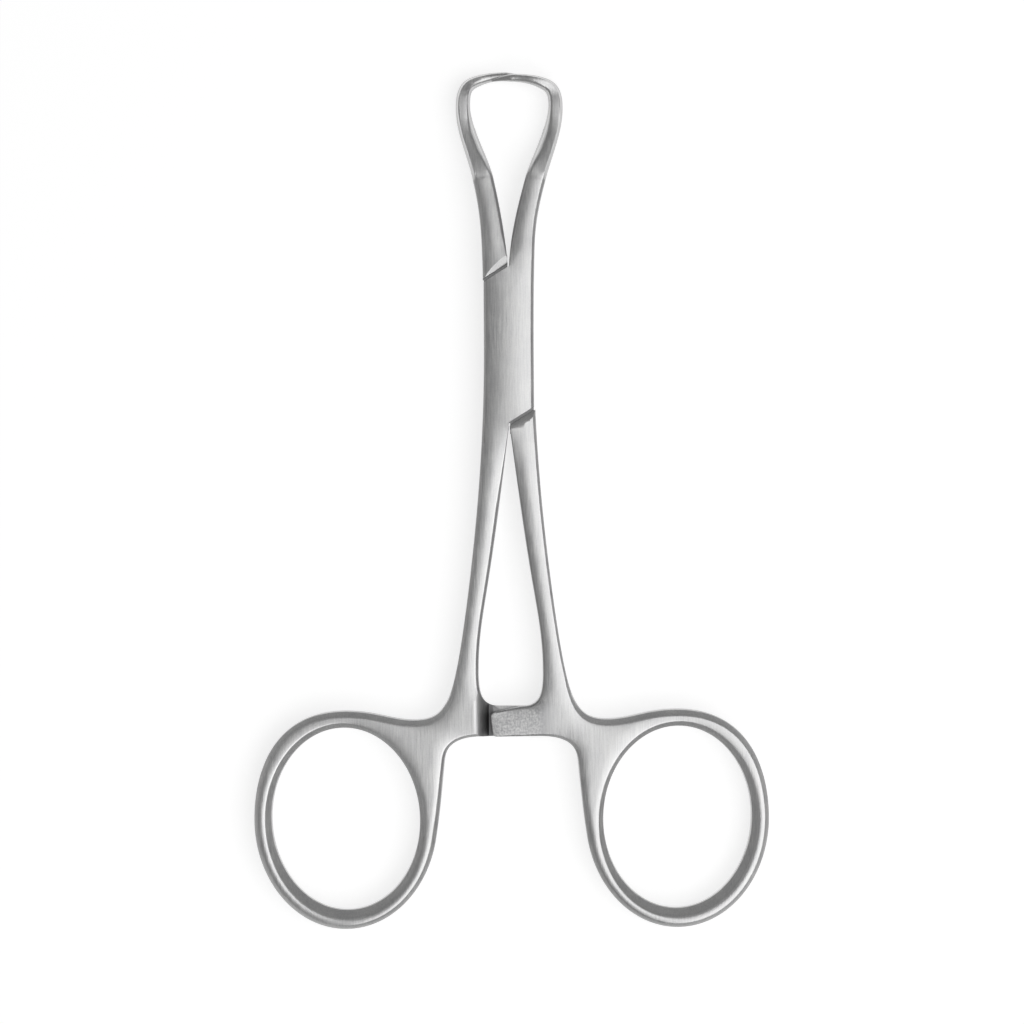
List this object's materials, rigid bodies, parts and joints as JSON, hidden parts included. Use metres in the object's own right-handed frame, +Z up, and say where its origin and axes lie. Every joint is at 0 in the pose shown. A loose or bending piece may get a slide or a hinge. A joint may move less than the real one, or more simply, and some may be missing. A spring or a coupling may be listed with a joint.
{
  "type": "towel clamp",
  "caption": "Towel clamp whose ringed shanks cross in a box lock and end in curved jaws with overlapping points; facing ratchet teeth lock it shut and a flush rivet is its pivot.",
  "frame": {"origin": "on the pivot axis, at the underside of the lock", "axes": "+X across the finger rings, +Y from the rings towards the jaws, +Z up through the thickness"},
  "size_m": [0.0662, 0.1103, 0.0044],
  "materials": {
    "satin_steel": "satin brushed stainless steel"
  },
  "bodies": {
    "box": {"box_half": "satin_steel", "pivot_rivet": "satin_steel"},
    "tongue": {"tongue_half": "satin_steel"}
  },
  "joints": [
    {"name": "pivot", "type": "hinge", "parent": "box", "child": "tongue", "pos_m": [0, 0, 0], "axis": [0, 0, 1], "range_deg": [0, 60]}
  ]
}
